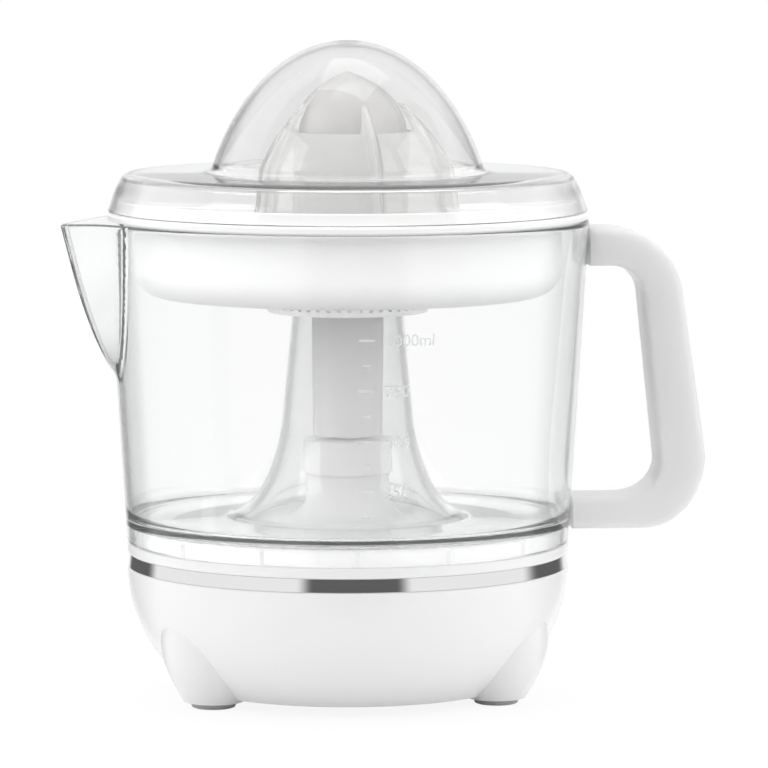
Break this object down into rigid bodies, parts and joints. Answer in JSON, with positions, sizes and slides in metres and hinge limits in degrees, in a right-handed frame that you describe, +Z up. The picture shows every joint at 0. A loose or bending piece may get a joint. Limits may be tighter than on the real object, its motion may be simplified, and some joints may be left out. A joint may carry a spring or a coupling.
{
  "type": "citrus press juicer",
  "caption": "Electric citrus press: motor base, clear lift-off jug with spout and handle, strainer, nested large and small reamers turned by a shaft, and a domed dust cover.",
  "frame": {"origin": "on the drive axis, at the level of the table that the three feet stand on", "axes": "+Z up along the drive axis, +X towards the handle, -X towards the spout, -Y the front with the volume scale"},
  "size_m": [0.21, 0.1574, 0.2139],
  "materials": {
    "rubber_grey": "matt moulded rubber",
    "white_abs": "glossy white ABS",
    "chrome_plate": "mirror chrome plating",
    "bronze": "sintered bronze",
    "steel": "ground steel",
    "natural_nylon": "natural nylon",
    "grey_abs": "grey moulding",
    "core_steel": "laminated silicon steel",
    "copper": "enamelled copper wire",
    "ferrite": "ferrite magnet",
    "black_abs": "black moulding",
    "red_abs": "red moulding",
    "clear_san": "clear glossy SAN",
    "frosted_pp": "frosted translucent plastic",
    "smoke_san": "smoky translucent SAN"
  },
  "bodies": {
    "base": {"rubber_feet": "rubber_grey", "base_housing": "white_abs", "bottom_cover": "white_abs", "chrome_ring": "chrome_plate", "top_cover": "white_abs", "shaft_bush": "bronze", "shaft_seal": "rubber_grey", "idler_pin": "steel", "gear_plate": "grey_abs", "motor_core": "core_steel", "coil_bobbins": "natural_nylon", "windings": "copper", "lower_bracket": "core_steel", "switch_body": "black_abs", "cover_screws": "steel", "plate_screws": "steel", "cable_inlet": "rubber_grey"},
    "jug": {"jug": "clear_san", "handle": "frosted_pp"},
    "strainer": {"strainer": "white_abs"},
    "small_reamer": {"reamer_small": "smoke_san"},
    "large_reamer": {"reamer_large": "clear_san"},
    "cover": {"dust_cover": "clear_san"},
    "output_gear": {"output_gear": "natural_nylon"},
    "drive_shaft": {"drive_shaft": "natural_nylon", "return_spring": "steel"},
    "idler": {"idler_gear": "natural_nylon"},
    "rotor": {"rotor_magnet": "ferrite", "rotor_shaft": "steel"},
    "plunger": {"switch_plunger": "red_abs"}
  },
  "joints": [
    {"name": "jug_lift", "type": "slide", "parent": "base", "child": "jug", "axis": [0, 0, 1], "range_m": [0, 0.06]},
    {"name": "strainer_lift", "type": "slide", "parent": "jug", "child": "strainer", "axis": [0, 0, 1], "range_m": [0, 0.075]},
    {"name": "reamer_spin", "type": "hinge", "parent": "strainer", "child": "small_reamer", "pos_m": [0, 0, 0.14], "axis": [0, 0, 1], "continuous": true},
    {"name": "large_lift", "type": "slide", "parent": "small_reamer", "child": "large_reamer", "axis": [0, 0, 1], "range_m": [0, 0.07]},
    {"name": "cover_lift", "type": "slide", "parent": "strainer", "child": "cover", "axis": [0, 0, 1], "range_m": [0, 0.14]},
    {"name": "output_spin", "type": "hinge", "parent": "base", "child": "output_gear", "pos_m": [0, 0, 0.04], "axis": [0, 0, 1], "continuous": true},
    {"name": "shaft_press", "type": "slide", "parent": "output_gear", "child": "drive_shaft", "axis": [0, 0, -1], "range_m": [0, 0.001], "stiffness_N_per_m": 500, "springref_m": -0.004, "deforming": ["return_spring"]},
    {"name": "plunger_press", "type": "slide", "parent": "base", "child": "plunger", "axis": [0, 0, -1], "range_m": [0, 0.001], "stiffness_N_per_m": 100, "springref_m": -0.004},
    {"name": "idler_spin", "type": "hinge", "parent": "base", "child": "idler", "pos_m": [0.01881, 0.02369, 0.034], "axis": [0, 0, 1], "continuous": true},
    {"name": "rotor_spin", "type": "hinge", "parent": "base", "child": "rotor", "pos_m": [0.024, 0, 0.02], "axis": [0, 0, 1], "continuous": true}
  ],
  "couplings": [
    {"joint": "output_spin", "follows": "reamer_spin", "ratio": 1},
    {"joint": "idler_spin", "follows": "reamer_spin", "ratio": -4},
    {"joint": "rotor_spin", "follows": "reamer_spin", "ratio": 12},
    {"joint": "large_lift", "follows": "cover_lift", "ratio": 0.5},
    {"joint": "plunger_press", "follows": "shaft_press", "ratio": 1}
  ]
}
